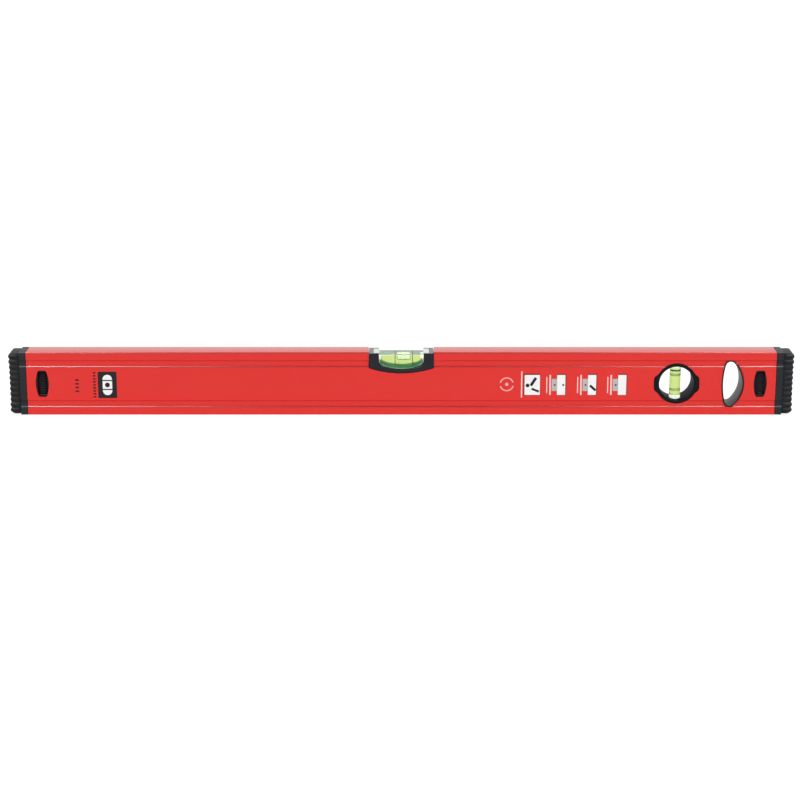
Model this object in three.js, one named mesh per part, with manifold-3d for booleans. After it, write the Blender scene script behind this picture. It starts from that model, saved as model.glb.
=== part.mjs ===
// Spirit level with a 610 mm box-section beam, in millimetres, +Z up.
// X runs along the beam, the front face looks towards -Y, and the lower measuring face lies on Z = 0.
import * as THREE from "three";
import { mergeVertices } from "three/addons/utils/BufferGeometryUtils.js";
import Module from "manifold-3d";

const wasm = await Module();
wasm.setup();

// Overall sizes
const overallLength = 610;
const beamHeight = 50;
const beamThickness = 20;
const beamWall = 1.6;
const beamEdgeRadius = 1.2;

// Clearances
const seatGap = 0.3; // between faces that rest on each other
const slideGap = 0.3; // around a piece that slides

// The shallow channels drawn along both side faces, near the top and the bottom
const channelDepth = 0.85;
const channelWidth = 5.3;
const channelSlopeRun = 0.7;
const channelFromEdge = 8.95;

// Centre vial: notch through the top of the beam, cradle and clear vial block
const notchWidth = 50.7;
const notchSideDepth = 12.5;
const notchMidDepth = 16.7;
const cradleBelowTop = 0.8;
const cradleOpeningWidth = 34.9;
const cradleFloor = 2.9;
const cradleOpeningCurve = 6.5;
const vialBlockThickness = 15.4;
const vialBlockBelowTop = 2.2;
const vialBoreRadius = 3.2;
const vialBoreRoof = 0.9;
const vialLeftWall = 5.45;
const vialRightWall = 2.25;
const vialPortRadius = 1.5;
const vialRingSpacing = 13.5;
const vialRingShift = 0.4; // of the rings' middle from the bore's middle
const vialBubbleLength = 10;
const vialBubbleRadius = 1.7;
const vialBubbleShoulder = 1.5;

// Reading rings inside both bores
const ringRadialGap = 0.1;
const ringWall = 0.3;
const ringWidth = 0.8;

// Plumb vial: round window, two-part holder and clear tube
const plumbFromBeamEnd = 77;
const plumbRadius = 16.15;
const plumbHolderWall = 2.65;
const plumbEarReach = 1.4;
const plumbEarHeight = 13.4;
const plumbTubeRadius = 4.35;
const plumbTubeSeat = 1.3;
const plumbBoreRadius = 3.3;
const plumbTubeRoof = 1.5;
const plumbSealLength = 3.7;
const plumbRingSpacing = 11.7;
const plumbRingDrop = 1;
const plumbBubbleRadius = 2.3;
const plumbBubbleLength = 5;
const plumbBubbleShoulder = 1.4;

// Hang slot near the right end, wider on its outer side
const slotFromBeamEnd = 35.3;
const slotHeight = 37.6;
const slotEndRadius = 5.2;
const slotInnerReach = 6.8;
const slotOuterReach = 10.8;
const slotLinerWall = 1;

// End caps: rigid plug, rubber bumper and two sprung latches
const capLength = 14;
const capFlangeLength = 5.5;
const capTongueLength = 22;
const capStubLength = 4.5;
const capStubWall = 3.2;
const bumperInset = 1;
const bumperCornerRadius = 2.2;
const bumperBandHeight = 6.6;
const bumperRibs = 11;
const bumperRibDepth = 0.6;
const bumperRibHeight = 2.5;
const bumperEndMargin = 2.6;
const latchFromBeamEnd = 12;
const latchWidth = 6.9;
const latchHeight = 17.3;
const latchDepth = 3.2;
const latchSink = 0.15;
const latchShoulder = 1.4;
const latchShoulderDepth = 1.5;
const latchRibs = 8;
const latchRibHeight = 0.4;
const latchRibInset = 0.6;
const latchRibWidth = 1;
const latchCornerRadius = 1.2;
const latchWeb = 1.2;
const windowWidth = 7.4;
const windowHeight = 21.2;
const windowBelly = 1.4;
const windowCornerRadius = 2;
const springRadius = 1.9;
const springWire = 0.6;
const springTurns = 3;

// Sizes that follow from the ones above
const beamLength = overallLength - 2 * capLength;
const beamEnd = beamLength / 2;
const midHeight = beamHeight / 2;
const halfThickness = beamThickness / 2;
const slopeAngle = Math.atan2(channelDepth, channelSlopeRun);
const vialBlockEnd = cradleOpeningWidth / 2 - seatGap;
const vialBoreStart = -vialBlockEnd + vialLeftWall;
const vialBoreEnd = vialBlockEnd - vialRightWall;
const vialRingMiddle = (vialBoreStart + vialBoreEnd) / 2 + vialRingShift;
const vialRoofZ = beamHeight - vialBlockBelowTop - vialBoreRoof;
const vialBoreZ = vialRoofZ - vialBoreRadius;
const plumbX = beamEnd - plumbFromBeamEnd;
const plumbOpeningRadius = plumbRadius - plumbHolderWall;
const slotX = beamEnd - slotFromBeamEnd;
const tongueHalfThickness = halfThickness - beamWall - slideGap;
const latchX = beamEnd - latchFromBeamEnd;
const cutDepth = beamThickness * 2;

// Finishes
const redCoat = { color: 0xe13f39, roughness: 0.42, metalness: 0.1 };
const blackPlastic = { color: 0x222529, roughness: 0.5, metalness: 0 };
const blackRubber = { color: 0x1b1c1e, roughness: 0.8, metalness: 0 };
const cradlePlastic = { color: 0x1c1d24, roughness: 0.25, metalness: 0 };
const linerPlastic = { color: 0x5c5c5a, roughness: 0.5, metalness: 0 };
const springSteel = { color: 0xb8babd, roughness: 0.35, metalness: 1 };
const clearAcrylic = { color: 0xf2fbf0, roughness: 0.05, metalness: 0 };
const yellowLiquid = { color: 0xcfe05a, roughness: 0.05, metalness: 0 };
const airBubble = { color: 0xf4f8ee, roughness: 0.05, metalness: 0 };
const ringInk = { color: 0x33401c, roughness: 0.5, metalness: 0 };

const level = new THREE.Group();

// A closed geometry as a solid that can be cut and joined.
function solid(geometry) {
  const bare = geometry.index ? geometry.toNonIndexed() : geometry.clone();
  bare.deleteAttribute("normal");
  bare.deleteAttribute("uv");
  const merged = mergeVertices(bare, 1e-4);
  return new wasm.Manifold(
    new wasm.Mesh({
      numProp: 3,
      vertProperties: new Float32Array(merged.attributes.position.array),
      triVerts: new Uint32Array(merged.index.array),
    }),
  );
}

// A finished solid as a named mesh of the level.
function addPiece(name, body, finish) {
  const mesh = body.getMesh();
  const geometry = new THREE.BufferGeometry();
  geometry.setAttribute("position", new THREE.BufferAttribute(mesh.vertProperties, mesh.numProp));
  geometry.setIndex(new THREE.BufferAttribute(mesh.triVerts, 1));
  geometry.computeVertexNormals();
  const piece = new THREE.Mesh(geometry, new THREE.MeshStandardMaterial(finish));
  piece.name = name;
  level.add(piece);
  return piece;
}

function box(x0, x1, y0, y1, z0, z1) {
  const geometry = new THREE.BoxGeometry(x1 - x0, y1 - y0, z1 - z0);
  return solid(geometry.translate((x0 + x1) / 2, (y0 + y1) / 2, (z0 + z1) / 2));
}

// An outline drawn in (Y, Z), extruded along X from x0 to x1.
function alongX(shape, x0, x1, curveSegments = 6) {
  const geometry = new THREE.ExtrudeGeometry(shape, {
    depth: x1 - x0,
    bevelEnabled: false,
    curveSegments,
  });
  const toRow = new THREE.Matrix4().makeBasis(
    new THREE.Vector3(0, 1, 0),
    new THREE.Vector3(0, 0, 1),
    new THREE.Vector3(1, 0, 0),
  );
  return solid(geometry.applyMatrix4(toRow).translate(x0, 0, 0));
}

// An outline drawn in (X, Z), extruded through the thickness from y0 to y1.
function throughY(shape, y0, y1, curveSegments = 6) {
  const geometry = new THREE.ExtrudeGeometry(shape, {
    depth: y1 - y0,
    bevelEnabled: false,
    curveSegments,
  });
  return solid(geometry.rotateX(Math.PI / 2).translate(0, y1, 0));
}

// An outline drawn in (X, Y), extruded upwards from z0 to z1.
function alongZ(shape, z0, z1, curveSegments = 2) {
  const geometry = new THREE.ExtrudeGeometry(shape, {
    depth: z1 - z0,
    bevelEnabled: false,
    curveSegments,
  });
  return solid(geometry.translate(0, 0, z0));
}

// A round bar along X or Z, from its first end to its second.
function barX(radius, x0, x1, y, z, sides = 32) {
  const geometry = new THREE.CylinderGeometry(radius, radius, x1 - x0, sides);
  return solid(geometry.rotateZ(Math.PI / 2).translate((x0 + x1) / 2, y, z));
}

function barZ(radius, z0, z1, x, y, sides = 32) {
  const geometry = new THREE.CylinderGeometry(radius, radius, z1 - z0, sides);
  return solid(geometry.rotateX(Math.PI / 2).translate(x, y, (z0 + z1) / 2));
}

// A bar with round shoulders, lathed round the Z axis and centred on the origin.
function capsule(radius, length, shoulder) {
  const half = length / 2;
  const steps = 4;
  const profile = [new THREE.Vector2(0, -half)];
  for (let i = 0; i <= steps; i += 1) {
    const turn = (i / steps) * (Math.PI / 2);
    const reach = radius - shoulder + shoulder * Math.sin(turn);
    profile.push(new THREE.Vector2(reach, -half + shoulder * (1 - Math.cos(turn))));
  }
  for (let i = 0; i <= steps; i += 1) {
    const turn = (i / steps) * (Math.PI / 2);
    const reach = radius - shoulder + shoulder * Math.cos(turn);
    profile.push(new THREE.Vector2(reach, half - shoulder * (1 - Math.sin(turn))));
  }
  profile.push(new THREE.Vector2(0, half));
  return new THREE.LatheGeometry(profile, 24).rotateX(Math.PI / 2);
}

function rectangle(u0, u1, v0, v1, radius) {
  const shape = new THREE.Shape();
  shape.moveTo(u0 + radius, v0);
  shape.lineTo(u1 - radius, v0);
  shape.absarc(u1 - radius, v0 + radius, radius, -Math.PI / 2, 0, false);
  shape.lineTo(u1, v1 - radius);
  shape.absarc(u1 - radius, v1 - radius, radius, 0, Math.PI / 2, false);
  shape.lineTo(u0 + radius, v1);
  shape.absarc(u0 + radius, v1 - radius, radius, Math.PI / 2, Math.PI, false);
  shape.lineTo(u0, v0 + radius);
  shape.absarc(u0 + radius, v0 + radius, radius, Math.PI, Math.PI * 1.5, false);
  return shape;
}

// The beam's cross-section in (Y, Z), drawn inset from its outer skin, channels included.
function beamSection(inset) {
  const side = halfThickness - inset;
  const radius = Math.max(beamEdgeRadius - inset, 0.3);
  const spread = inset * Math.tan(slopeAngle / 2);
  const rim = channelWidth / 2 + spread;
  const foot = rim - channelSlopeRun;
  const channels = [channelFromEdge, beamHeight - channelFromEdge];
  const shape = new THREE.Shape();
  shape.moveTo(-side + radius, inset);
  shape.lineTo(side - radius, inset);
  shape.absarc(side - radius, inset + radius, radius, -Math.PI / 2, 0, false);
  for (const z of channels) {
    shape.lineTo(side, z - rim);
    shape.lineTo(side - channelDepth, z - foot);
    shape.lineTo(side - channelDepth, z + foot);
    shape.lineTo(side, z + rim);
  }
  shape.absarc(side - radius, beamHeight - inset - radius, radius, 0, Math.PI / 2, false);
  shape.absarc(-side + radius, beamHeight - inset - radius, radius, Math.PI / 2, Math.PI, false);
  for (const z of channels.reverse()) {
    shape.lineTo(-side, z + rim);
    shape.lineTo(-side + channelDepth, z + foot);
    shape.lineTo(-side + channelDepth, z - foot);
    shape.lineTo(-side, z - rim);
  }
  shape.absarc(-side + radius, inset + radius, radius, Math.PI, Math.PI * 1.5, false);
  return shape;
}

// The notch for the centre vial in (X, Z): straight sides and a floor that is one shallow arc.
function notchOutline(inset, top) {
  const half = notchWidth / 2;
  const sag = notchMidDepth - notchSideDepth;
  const radius = (half * half + sag * sag) / (2 * sag);
  const centreZ = beamHeight - notchMidDepth + radius;
  const reach = half - inset;
  const turn = Math.asin(reach / (radius - inset));
  const shape = new THREE.Shape();
  shape.absarc(0, centreZ, radius - inset, -Math.PI / 2 - turn, -Math.PI / 2 + turn, false);
  shape.lineTo(reach, top);
  shape.lineTo(-reach, top);
  return shape;
}

// The cradle's boat-shaped opening in (X, Z), also the outline of the vial block that fills it.
function boatOutline(inset, top) {
  const half = cradleOpeningWidth / 2 - inset;
  const floorZ = beamHeight - notchMidDepth + cradleFloor + inset;
  const curve = cradleOpeningCurve;
  const shape = new THREE.Shape();
  shape.absellipse(0, floorZ + curve, half, curve, Math.PI, Math.PI * 2, false, 0);
  shape.lineTo(half, top);
  shape.lineTo(-half, top);
  return shape;
}

// The plumb vial's window in (X, Z): a circle with a square ear on each side.
function plumbOutline(inset) {
  const radius = plumbRadius - inset;
  const reach = plumbRadius + plumbEarReach - inset;
  const rise = plumbEarHeight / 2 - inset;
  const turn = Math.asin(rise / radius);
  const shape = new THREE.Shape();
  shape.moveTo(plumbX + reach, midHeight - rise);
  shape.lineTo(plumbX + reach, midHeight + rise);
  shape.absarc(plumbX, midHeight, radius, turn, Math.PI - turn, false);
  shape.lineTo(plumbX - reach, midHeight + rise);
  shape.lineTo(plumbX - reach, midHeight - rise);
  shape.absarc(plumbX, midHeight, radius, Math.PI + turn, Math.PI * 2 - turn, false);
  return shape;
}

// The hang slot in (X, Z): two end arcs joined by two tangent side arcs of different fullness.
function slotOutline(inset) {
  const rise = slotHeight / 2 - slotEndRadius;
  const sideRadius = (reach) => {
    const extra = reach - slotEndRadius;
    return slotEndRadius + (rise * rise + extra * extra) / (2 * extra);
  };
  const outerRadius = sideRadius(slotOuterReach);
  const innerRadius = sideRadius(slotInnerReach);
  const outerBack = outerRadius - slotOuterReach;
  const innerBack = innerRadius - slotInnerReach;
  const outerTurn = Math.atan2(rise, outerBack);
  const innerTurn = Math.atan2(rise, innerBack);
  const end = slotEndRadius - inset;
  const left = Math.PI - innerTurn;
  const shape = new THREE.Shape();
  shape.absarc(slotX - outerBack, midHeight, outerRadius - inset, -outerTurn, outerTurn, false);
  shape.absarc(slotX, midHeight + rise, end, outerTurn, left, false);
  shape.absarc(slotX + innerBack, midHeight, innerRadius - inset, left, Math.PI + innerTurn, false);
  shape.absarc(slotX, midHeight - rise, end, Math.PI + innerTurn, Math.PI * 2 - outerTurn, false);
  return shape;
}

// The latch window in (X, Z): a tall barrel with rounded corners.
function latchWindowOutline(x) {
  const half = windowWidth / 2;
  const rise = windowHeight / 2;
  const r = windowCornerRadius;
  const shape = new THREE.Shape();
  shape.moveTo(x - half + r, midHeight - rise);
  shape.lineTo(x + half - r, midHeight - rise);
  shape.quadraticCurveTo(x + half, midHeight - rise, x + half, midHeight - rise + r);
  shape.quadraticCurveTo(x + half + 2 * windowBelly, midHeight, x + half, midHeight + rise - r);
  shape.quadraticCurveTo(x + half, midHeight + rise, x + half - r, midHeight + rise);
  shape.lineTo(x - half + r, midHeight + rise);
  shape.quadraticCurveTo(x - half, midHeight + rise, x - half, midHeight + rise - r);
  shape.quadraticCurveTo(x - half - 2 * windowBelly, midHeight, x - half, midHeight - rise + r);
  shape.quadraticCurveTo(x - half, midHeight - rise, x - half + r, midHeight - rise);
  return shape;
}

// Extruded beam, cut through both walls for the vials, the hang slot and the latches.
function addBeam() {
  let beam = alongX(beamSection(0), -beamEnd, beamEnd, 3);
  beam = beam.subtract(alongX(beamSection(beamWall), -beamEnd - 1, beamEnd + 1, 2));
  const cuts = [
    notchOutline(0, beamHeight + 1),
    plumbOutline(0),
    slotOutline(0),
    latchWindowOutline(latchX),
    latchWindowOutline(-latchX),
  ];
  for (const outline of cuts) {
    beam = beam.subtract(throughY(outline, -cutDepth / 2, cutDepth / 2));
  }
  addPiece("beam", beam, redCoat);
}

// Black cradle that fills the notch and holds the vial block between its two end blocks.
function addCentreCradle() {
  const top = beamHeight - cradleBelowTop;
  const blank = throughY(notchOutline(seatGap, top), -halfThickness, halfThickness);
  const opening = throughY(boatOutline(0, beamHeight + 1), -halfThickness - 1, halfThickness + 1);
  addPiece("centre_vial_cradle", blank.subtract(opening), cradlePlastic);
}

// Clear block with a closed bore; a small filler port leads out of its right end, and a
// seal closes the port.
function addCentreVial() {
  const top = beamHeight - vialBlockBelowTop;
  const halfBlock = vialBlockThickness / 2;
  const block = throughY(boatOutline(seatGap, top), -halfBlock, halfBlock, 8);
  const bore = barX(vialBoreRadius, vialBoreStart, vialBoreEnd, 0, vialBoreZ);
  const portZ = vialRoofZ - vialPortRadius;
  const port = barX(vialPortRadius, vialBoreEnd - 1, vialBlockEnd + 1, 0, portZ, 24);
  addPiece("centre_vial_block", block.subtract(bore.add(port)), clearAcrylic);

  const sealRadius = vialPortRadius - seatGap / 2;
  const seal = barX(sealRadius, vialBoreEnd, vialBlockEnd, 0, portZ, 24);
  addPiece("centre_vial_seal", seal, clearAcrylic);

  const ringOuter = vialBoreRadius - ringRadialGap;
  const ringInner = ringOuter - ringWall;
  const sides = [
    ["left", -1],
    ["right", 1],
  ];
  for (const [side, way] of sides) {
    const x = vialRingMiddle + (way * vialRingSpacing) / 2;
    const rim = barX(ringOuter, x - ringWidth / 2, x + ringWidth / 2, 0, vialBoreZ);
    const hole = barX(ringInner, x - ringWidth, x + ringWidth, 0, vialBoreZ);
    addPiece("centre_vial_ring_" + side, rim.subtract(hole), ringInk);
  }

  const liquidRadius = ringInner - ringRadialGap;
  const start = vialBoreStart + seatGap;
  const end = vialBoreEnd - seatGap;
  const fill = barX(liquidRadius, start, end, 0, vialBoreZ);
  const bubbleZ = vialBoreZ + liquidRadius - vialBubbleRadius;
  const reach = vialBubbleRadius + slideGap;
  const groove = box(
    start + seatGap,
    end - seatGap,
    -reach,
    reach,
    bubbleZ - reach,
    vialBoreZ + 2 * liquidRadius,
  );
  addPiece("centre_vial_liquid", fill.subtract(groove), yellowLiquid);

  const bubble = addPiece(
    "centre_vial_bubble",
    solid(capsule(vialBubbleRadius, vialBubbleLength, vialBubbleShoulder)),
    airBubble,
  );
  bubble.rotation.y = Math.PI / 2;
  bubble.position.set(vialRingMiddle, 0, bubbleZ);
}

// Round holder in two halves that meet at mid-thickness round the plumb tube.
function addPlumbHolder() {
  const outline = plumbOutline(seatGap);
  const opening = new THREE.Path();
  opening.absarc(plumbX, midHeight, plumbOpeningRadius, 0, Math.PI * 2, true);
  outline.holes.push(opening);
  const seat = plumbOpeningRadius + plumbTubeSeat + seatGap;
  const socket = barZ(plumbTubeRadius + seatGap, midHeight - seat, midHeight + seat, plumbX, 0);
  const front = throughY(outline, -halfThickness, -seatGap / 2, 8).subtract(socket);
  const rear = throughY(outline, seatGap / 2, halfThickness, 8).subtract(socket);
  addPiece("plumb_holder_front", front, blackPlastic);
  addPiece("plumb_holder_rear", rear, blackPlastic);
}

// Clear tube standing across the window, open at its foot, where a seal closes it.
function addPlumbVial() {
  const reach = plumbOpeningRadius + plumbTubeSeat;
  const foot = midHeight - reach;
  const head = midHeight + reach;
  const boreTop = head - plumbTubeRoof;
  const tube = barZ(plumbTubeRadius, foot, head, plumbX, 0);
  const bore = barZ(plumbBoreRadius, foot - 1, boreTop, plumbX, 0);
  addPiece("plumb_vial_tube", tube.subtract(bore), clearAcrylic);

  const sealTop = foot + plumbSealLength;
  const seal = barZ(plumbBoreRadius - seatGap / 2, foot, sealTop, plumbX, 0);
  addPiece("plumb_vial_seal", seal, clearAcrylic);

  const ringOuter = plumbBoreRadius - ringRadialGap;
  const ringInner = ringOuter - ringWall;
  const sides = [
    ["lower", -1],
    ["upper", 1],
  ];
  for (const [side, way] of sides) {
    const z = midHeight - plumbRingDrop + (way * plumbRingSpacing) / 2;
    const rim = barZ(ringOuter, z - ringWidth / 2, z + ringWidth / 2, plumbX, 0);
    const hole = barZ(ringInner, z - ringWidth, z + ringWidth, plumbX, 0);
    addPiece("plumb_vial_ring_" + side, rim.subtract(hole), ringInk);
  }

  const liquidFoot = sealTop + seatGap;
  const liquidTop = boreTop - seatGap;
  const fill = barZ(ringInner - ringRadialGap, liquidFoot, liquidTop, plumbX, 0);
  const channelRadius = plumbBubbleRadius + slideGap;
  const channel = barZ(channelRadius, liquidFoot + seatGap, liquidTop + 1, plumbX, 0, 24);
  addPiece("plumb_vial_liquid", fill.subtract(channel), yellowLiquid);

  const bubble = addPiece(
    "plumb_vial_bubble",
    solid(capsule(plumbBubbleRadius, plumbBubbleLength, plumbBubbleShoulder)),
    airBubble,
  );
  bubble.position.set(plumbX, 0, liquidTop - plumbBubbleLength / 2);
}

// Moulded liner of the hang slot, in two halves that meet at mid-thickness.
function addSlotLiner() {
  const halves = [
    ["front", -halfThickness, -seatGap / 2],
    ["rear", seatGap / 2, halfThickness],
  ];
  for (const [side, y0, y1] of halves) {
    const shell = throughY(slotOutline(seatGap), y0, y1);
    const hole = throughY(slotOutline(seatGap + slotLinerWall), y0 - 1, y1 + 1);
    addPiece("hang_slot_liner_" + side, shell.subtract(hole), linerPlastic);
  }
}

// Rigid plug of the right cap: a flange that carries on the beam's section, a tongue inside
// the beam with a pocket for each latch, and a stub that the bumper is moulded round.
function endPlug() {
  const flangeStart = beamEnd + seatGap;
  const flangeEnd = beamEnd + capFlangeLength;
  const tongueEnd = beamEnd - capTongueLength;
  const stub = rectangle(
    -halfThickness + capStubWall,
    halfThickness - capStubWall,
    capStubWall,
    beamHeight - capStubWall,
    1,
  );
  let plug = alongX(beamSection(0), flangeStart, flangeEnd, 3);
  plug = plug.add(alongX(beamSection(beamWall + slideGap), tongueEnd, flangeStart + 1, 2));
  plug = plug.add(alongX(stub, flangeEnd - 1, flangeEnd + capStubLength, 3));
  const halfPad = latchWidth / 2 + slideGap;
  const padRise = latchHeight / 2 + slideGap;
  const chamberRise = padRise + latchShoulder;
  const chamberOuter = tongueHalfThickness - latchSink - latchDepth + latchShoulderDepth + slideGap;
  for (const way of [-1, 1]) {
    const mouth = [(way * latchWeb) / 2, way * (tongueHalfThickness + 1)].sort((a, b) => a - b);
    const room = [(way * latchWeb) / 2, way * chamberOuter].sort((a, b) => a - b);
    const x0 = latchX - halfPad;
    const x1 = latchX + halfPad;
    plug = plug.subtract(box(x0, x1, ...mouth, midHeight - padRise, midHeight + padRise));
    plug = plug.subtract(box(x0, x1, ...room, midHeight - chamberRise, midHeight + chamberRise));
  }
  return plug;
}

// Rubber bumper of the right cap: a rounded block with ribs that wrap its front, end and back.
function endBumper() {
  const start = beamEnd + capFlangeLength + seatGap;
  const end = overallLength / 2;
  const outline = (inset) => {
    const side = halfThickness - inset;
    const radius = bumperCornerRadius;
    const shape = new THREE.Shape();
    shape.absarc(end - inset - radius, -side + radius, radius, -Math.PI / 2, 0, false);
    shape.absarc(end - inset - radius, side - radius, radius, 0, Math.PI / 2, false);
    shape.lineTo(start, side);
    shape.lineTo(start, -side);
    return shape;
  };
  const foot = bumperInset;
  const head = beamHeight - bumperInset;
  let bumper = alongZ(outline(bumperRibDepth), foot, head);
  const pitch = (head - foot - 2 * bumperEndMargin) / (bumperRibs - 1);
  for (let i = 0; i < bumperRibs; i += 1) {
    const z = foot + bumperEndMargin + i * pitch;
    const outermost = z < foot + bumperBandHeight || z > head - bumperBandHeight;
    const inset = outermost ? 0 : bumperRibDepth / 2;
    bumper = bumper.add(alongZ(outline(inset), z - bumperRibHeight / 2, z + bumperRibHeight / 2));
  }
  // Rounded upper and lower outer corners, seen from the front.
  const profile = rectangle(start - 2 * bumperCornerRadius, end, foot, head, bumperCornerRadius);
  bumper = bumper.intersect(throughY(profile, -cutDepth / 2, cutDepth / 2));
  const pocket = rectangle(
    -halfThickness + capStubWall - seatGap,
    halfThickness - capStubWall + seatGap,
    capStubWall - seatGap,
    beamHeight - capStubWall + seatGap,
    1,
  );
  const pocketEnd = beamEnd + capFlangeLength + capStubLength + seatGap;
  return bumper.subtract(alongX(pocket, start - 1, pocketEnd, 3));
}

// Front latch of the right cap: a ribbed pad on a base whose shoulders stay behind the tongue.
function latchPad() {
  const face = -(tongueHalfThickness - latchSink);
  const back = face + latchDepth;
  const padFace = face + latchRibHeight;
  const half = latchWidth / 2;
  const rise = latchHeight / 2;
  const [foot, head] = [midHeight - rise, midHeight + rise];
  const pad = rectangle(latchX - half, latchX + half, foot, head, latchCornerRadius);
  let latch = throughY(pad, padFace, back, 3);
  const reach = rise + latchShoulder;
  const shoulderFace = back - latchShoulderDepth;
  latch = latch.add(
    box(latchX - half, latchX + half, shoulderFace, back, midHeight - reach, midHeight + reach),
  );
  const pitch = latchHeight / latchRibs;
  const ribReach = half - latchRibInset;
  const ribRoot = padFace + latchRibHeight / 2;
  for (let i = 0; i < latchRibs; i += 1) {
    const z0 = foot + (i + 0.5) * pitch - latchRibWidth / 2;
    latch = latch.add(box(latchX - ribReach, latchX + ribReach, face, ribRoot, z0, z0 + latchRibWidth));
  }
  return latch;
}

// Coil spring between the tongue's middle web and the back of the front latch.
function latchSpring() {
  const web = -latchWeb / 2 - seatGap - springWire / 2;
  const back = -(tongueHalfThickness - latchSink - latchDepth) + seatGap + springWire / 2;
  class Coil extends THREE.Curve {
    getPoint(t, target = new THREE.Vector3()) {
      const turn = t * springTurns * Math.PI * 2;
      const x = latchX + springRadius * Math.cos(turn);
      const z = midHeight + springRadius * Math.sin(turn);
      return target.set(x, web + t * (back - web), z);
    }
  }
  const wire = new THREE.Shape();
  wire.absarc(0, 0, springWire / 2, 0, Math.PI * 2, false);
  const geometry = new THREE.ExtrudeGeometry(wire, {
    extrudePath: new Coil(),
    steps: springTurns * 12,
    curveSegments: 4,
    bevelEnabled: false,
  });
  return solid(geometry);
}

// Both end caps from the right one's pieces: the left cap is its mirror image, and each
// cap's rear latch and spring mirror the front ones.
function addEndCaps() {
  const plug = endPlug();
  const bumper = endBumper();
  const latch = latchPad();
  const spring = latchSpring();
  for (const [end, alongSign] of [
    ["left", -1],
    ["right", 1],
  ]) {
    const place = (name, body, finish, acrossSign = 1) => {
      const mirrored = body.scale([alongSign, acrossSign, 1]);
      addPiece(end + "_" + name, mirrored, finish);
    };
    place("end_plug", plug, blackPlastic);
    place("end_bumper", bumper, blackRubber);
    for (const [side, acrossSign] of [
      ["front", 1],
      ["rear", -1],
    ]) {
      place(side + "_latch", latch, blackPlastic, acrossSign);
      place(side + "_latch_spring", spring, springSteel, acrossSign);
    }
  }
}

addBeam();
addCentreCradle();
addCentreVial();
addPlumbHolder();
addPlumbVial();
addSlotLiner();
addEndCaps();

export default level;
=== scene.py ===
"""A 610 mm box-beam spirit level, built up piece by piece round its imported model."""

import math

import bmesh
import bpy
import numpy as np
from mathutils import Matrix, Vector


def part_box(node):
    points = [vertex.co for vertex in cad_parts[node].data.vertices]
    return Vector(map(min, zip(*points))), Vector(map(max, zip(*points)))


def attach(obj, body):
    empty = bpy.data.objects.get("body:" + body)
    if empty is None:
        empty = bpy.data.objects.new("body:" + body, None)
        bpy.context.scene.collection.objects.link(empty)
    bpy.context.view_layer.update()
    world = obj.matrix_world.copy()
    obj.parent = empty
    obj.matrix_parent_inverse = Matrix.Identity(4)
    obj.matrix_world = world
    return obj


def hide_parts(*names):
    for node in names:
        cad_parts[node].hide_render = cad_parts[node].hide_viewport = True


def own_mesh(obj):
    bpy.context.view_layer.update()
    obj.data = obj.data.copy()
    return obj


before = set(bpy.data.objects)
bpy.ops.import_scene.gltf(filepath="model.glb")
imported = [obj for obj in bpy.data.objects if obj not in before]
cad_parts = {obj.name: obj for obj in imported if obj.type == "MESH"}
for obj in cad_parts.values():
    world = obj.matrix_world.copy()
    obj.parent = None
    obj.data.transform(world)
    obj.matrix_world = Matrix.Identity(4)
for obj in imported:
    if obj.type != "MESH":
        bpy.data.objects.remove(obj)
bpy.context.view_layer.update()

# ---------------------------------------------------------------------------------------
# Beam. One aluminium extrusion with a hollow box section and a shallow channel near each
# edge of both side faces. It is milled right through for the vials, the hang slot and the
# cap latches, and powder coated red afterwards, so that every milled edge is softened.
MM = 0.001

(beam_left, beam_front, beam_foot), (beam_right, beam_rear, beam_head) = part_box("beam")
beam_half = (beam_rear - beam_front) / 2
beam_middle = (beam_foot + beam_head) / 2
wall = 1.6 * MM
edge_radius = 0.8 * MM
channel_depth = 0.85 * MM
channel_width = 5.3 * MM
channel_slope = 0.7 * MM
channel_from_edge = 8.95 * MM
channel_bend = 1.1 * MM
coat_rounding = 0.22 * MM
least_radius = 0.3 * MM
edge_steps = 6
bend_steps = 5


def arc(centre, radius, start, end, steps):
    """Points on an arc, both ends included; radius is a number or an (across, up) pair."""
    across, up = radius if isinstance(radius, tuple) else (radius, radius)
    turns = [start + (end - start) * i / steps for i in range(steps + 1)]
    return [(centre[0] + across * math.cos(t), centre[1] + up * math.sin(t)) for t in turns]


def beam_section(inset):
    """The beam's outline in (y, z), drawn inset from its outer skin."""
    side = beam_half - inset
    radius = max(edge_radius - inset, least_radius)
    slope = math.atan2(channel_depth, channel_slope)
    spread = inset * math.tan(slope / 2)
    rim = channel_width / 2 + spread
    root = rim - channel_slope
    floor = side - channel_depth
    bend = channel_bend * math.tan(slope / 2)
    foot_centre = (side - radius, beam_foot + inset + radius)
    head_centre = (side - radius, beam_head - inset - radius)
    right = arc(foot_centre, radius, -math.pi / 2, 0, edge_steps)
    for z in (beam_foot + channel_from_edge, beam_head - channel_from_edge):
        rim_centre = (side - channel_bend, z - rim - bend)
        root_centre = (floor + channel_bend, z - root + bend)
        half = arc(rim_centre, channel_bend, 0, slope, bend_steps)
        half += arc(root_centre, channel_bend, math.pi + slope, math.pi, bend_steps)
        right += half + [(y, 2 * z - up) for y, up in reversed(half)]
    right += arc(head_centre, radius, 0, math.pi / 2, edge_steps)
    return right + [(-y, z) for y, z in reversed(right)]


def piece_from(name, points, faces):
    """A new object at the origin, its normals turned outwards."""
    mesh = bpy.data.meshes.new(name)
    mesh.from_pydata([tuple(p) for p in points], [], faces)
    shape = bmesh.new()
    shape.from_mesh(mesh)
    bmesh.ops.recalc_face_normals(shape, faces=shape.faces)
    shape.to_mesh(mesh)
    shape.free()
    made = bpy.data.objects.new(name, mesh)
    bpy.context.scene.collection.objects.link(made)
    return made


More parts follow.
